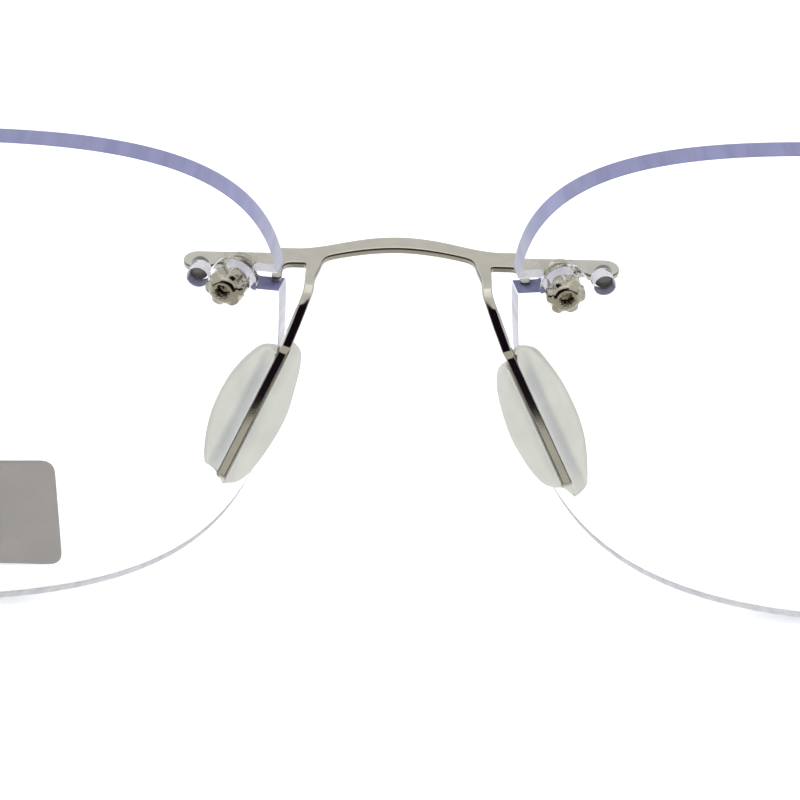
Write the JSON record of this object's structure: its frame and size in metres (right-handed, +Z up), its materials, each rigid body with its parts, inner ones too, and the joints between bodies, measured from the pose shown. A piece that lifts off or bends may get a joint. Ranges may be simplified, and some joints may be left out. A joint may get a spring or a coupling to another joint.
{
  "type": "rimless eyeglasses",
  "caption": "Rimless eyeglasses: drilled clear lenses on a folded sheet-metal bridge with silicone nose pads, star nuts, hinged endpieces and folding temples.",
  "frame": {"origin": "on the table, under the middle of the bounding box", "axes": "+Z up, +Y the way the wearer looks, +X to the wearer's right; the glasses stand open on the lens bottoms and the temple tips"},
  "size_m": [0.1336, 0.1512, 0.0388],
  "materials": {
    "sheet_metal": "satin rolled sheet with polished cut edges and polished pad arms",
    "turned_metal": "bright nickel on turned studs, nuts and screws",
    "lens": "clear polished lens with a finely ground, frosted edge",
    "silicone": "milky translucent silicone, softly matt",
    "clear_plastic": "clear moulded plastic",
    "nylon": "natural nylon",
    "tip_plastic": "frosted translucent plastic"
  },
  "bodies": {
    "front": {"bridge": "sheet_metal", "lens_right": "lens", "bridge_right_stud": "turned_metal", "bridge_right_sleeve": "clear_plastic", "bridge_right_nut": "turned_metal", "endpiece_right_stud": "turned_metal", "endpiece_right_sleeve": "clear_plastic", "endpiece_right_nut": "turned_metal", "nose_pad_right": "silicone", "endpiece_right": "sheet_metal", "hinge_screw_right": "turned_metal", "hinge_washer_upper_right": "nylon", "hinge_washer_lower_right": "nylon", "lens_left": "lens", "bridge_left_stud": "turned_metal", "bridge_left_sleeve": "clear_plastic", "bridge_left_nut": "turned_metal", "endpiece_left_stud": "turned_metal", "endpiece_left_sleeve": "clear_plastic", "endpiece_left_nut": "turned_metal", "nose_pad_left": "silicone", "endpiece_left": "sheet_metal", "hinge_screw_left": "turned_metal", "hinge_washer_upper_left": "nylon", "hinge_washer_lower_left": "nylon"},
    "temple_right": {"temple_right": "sheet_metal", "temple_tip_right": "tip_plastic"},
    "temple_left": {"temple_left": "sheet_metal", "temple_tip_left": "tip_plastic"}
  },
  "joints": [
    {"name": "hinge_right", "type": "hinge", "parent": "front", "child": "temple_right", "pos_m": [0.0655, 0.06242, 0.0284], "axis": [0, 0, -1], "range_deg": [0, 84]},
    {"name": "hinge_left", "type": "hinge", "parent": "front", "child": "temple_left", "pos_m": [-0.0655, 0.06242, 0.0284], "axis": [0, 0, 1], "range_deg": [0, 90]}
  ]
}
